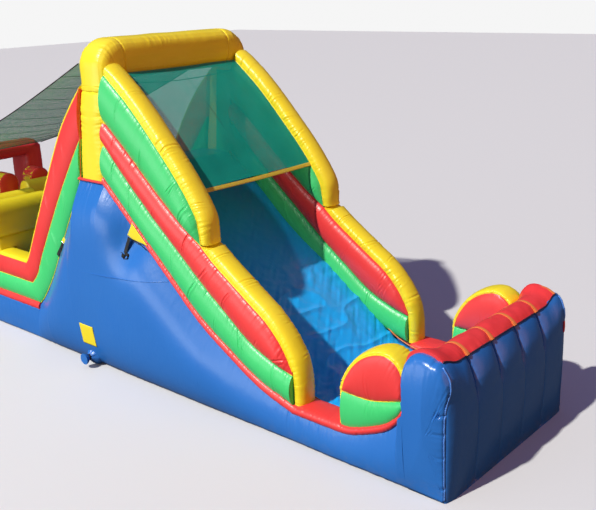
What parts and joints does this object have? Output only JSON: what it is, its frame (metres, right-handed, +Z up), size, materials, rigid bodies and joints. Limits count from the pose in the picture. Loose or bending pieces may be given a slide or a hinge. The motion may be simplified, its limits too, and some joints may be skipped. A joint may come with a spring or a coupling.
{
  "type": "inflatable water slide",
  "caption": "Inflatable water slide over a walled bay: climb, arch, netted slide with banded side walls and a landing with bumpers and a ribbed end wall.",
  "frame": {"origin": "on the ground at the middle of the footprint", "axes": "+X down the slide to the landing, +Y to the left hand of someone coming down, +Z up"},
  "size_m": [13.0997, 3.4942, 5.17],
  "materials": {
    "blue_vinyl": "gloss",
    "slide_vinyl": "gloss",
    "yellow_vinyl": "gloss",
    "red_vinyl": "gloss",
    "green_vinyl": "gloss",
    "green_net": "matte",
    "yellow_webbing": "matte",
    "black_webbing": "matte",
    "steel": "satin"
  },
  "bodies": {
    "structure": {"arch_beam": "yellow_vinyl", "arch_leg_left": "yellow_vinyl", "arch_leg_right": "yellow_vinyl", "blower_sleeve": "blue_vinyl", "bumper_lower_left": "green_vinyl", "bumper_lower_right": "green_vinyl", "bumper_rim_left": "yellow_vinyl", "bumper_rim_right": "yellow_vinyl", "bumper_upper_left": "red_vinyl", "bumper_upper_right": "red_vinyl", "canopy_net": "green_net", "climb_chamber": "blue_vinyl", "climb_patch_left": "yellow_vinyl", "climb_patch_right": "yellow_vinyl", "cross_wall": "yellow_vinyl", "end_wall": "blue_vinyl", "end_wall_cover": "red_vinyl", "entrance_arch": "red_vinyl", "half_wall_left": "yellow_vinyl", "half_wall_right": "yellow_vinyl", "landing_floor": "slide_vinyl", "ledge_left": "red_vinyl", "ledge_right": "red_vinyl", "net_strap": "yellow_webbing", "platform_chamber": "blue_vinyl", "post_left": "red_vinyl", "post_right": "red_vinyl", "rear_base": "blue_vinyl", "rear_ledge_left": "red_vinyl", "rear_ledge_right": "red_vinyl", "rear_wall_green_left": "green_vinyl", "rear_wall_green_right": "green_vinyl", "rear_wall_red_left": "red_vinyl", "rear_wall_red_right": "red_vinyl", "rear_wall_rim_left": "yellow_vinyl", "rear_wall_rim_right": "yellow_vinyl", "side_chamber_left": "blue_vinyl", "side_chamber_right": "blue_vinyl", "slide_chamber": "blue_vinyl", "slide_liner": "slide_vinyl", "slide_net": "green_net", "slide_wall_lower_cap_left": "yellow_vinyl", "slide_wall_lower_cap_right": "yellow_vinyl", "slide_wall_lower_green_left": "green_vinyl", "slide_wall_lower_green_right": "green_vinyl", "slide_wall_red_left": "red_vinyl", "slide_wall_red_right": "red_vinyl", "slide_wall_upper_cap_left": "yellow_vinyl", "slide_wall_upper_cap_right": "yellow_vinyl", "slide_wall_upper_green_left": "green_vinyl", "slide_wall_upper_green_right": "green_vinyl", "tether_patch_left": "yellow_vinyl", "tether_patch_right": "yellow_vinyl"},
    "link_body_right": {"tether_link_right": "steel"},
    "strap_body_right": {"tether_strap_right": "black_webbing"},
    "climb_strap_body_right": {"climb_strap_right": "black_webbing"},
    "link_body_left": {"tether_link_left": "steel"},
    "strap_body_left": {"tether_strap_left": "black_webbing"},
    "climb_strap_body_left": {"climb_strap_left": "black_webbing"}
  },
  "joints": [
    {"name": "link_swing_right", "type": "hinge", "parent": "structure", "child": "link_body_right", "pos_m": [1.0605, -1.5091, 2.34536], "axis": [-0.9613, 0, 0.2756], "range_deg": [0, 70]},
    {"name": "strap_swing_right", "type": "hinge", "parent": "link_body_right", "child": "strap_body_right", "pos_m": [1.04825, -1.51614, 2.30264], "axis": [-0.9613, 0, 0.2756], "range_deg": [0, 60]},
    {"name": "climb_strap_swing_right", "type": "hinge", "parent": "structure", "child": "climb_strap_body_right", "pos_m": [-0.7142, -1.5134, 1.93313], "axis": [-0.829, 0, 0.5592], "range_deg": [0, 90]},
    {"name": "link_swing_left", "type": "hinge", "parent": "structure", "child": "link_body_left", "pos_m": [1.0605, 1.5091, 2.34536], "axis": [0.9613, 0, -0.2756], "range_deg": [0, 70]},
    {"name": "strap_swing_left", "type": "hinge", "parent": "link_body_left", "child": "strap_body_left", "pos_m": [1.04825, 1.51614, 2.30264], "axis": [0.9613, 0, -0.2756], "range_deg": [0, 60]},
    {"name": "climb_strap_swing_left", "type": "hinge", "parent": "structure", "child": "climb_strap_body_left", "pos_m": [-0.7142, 1.5134, 1.93313], "axis": [0.829, 0, -0.5592], "range_deg": [0, 90]}
  ]
}
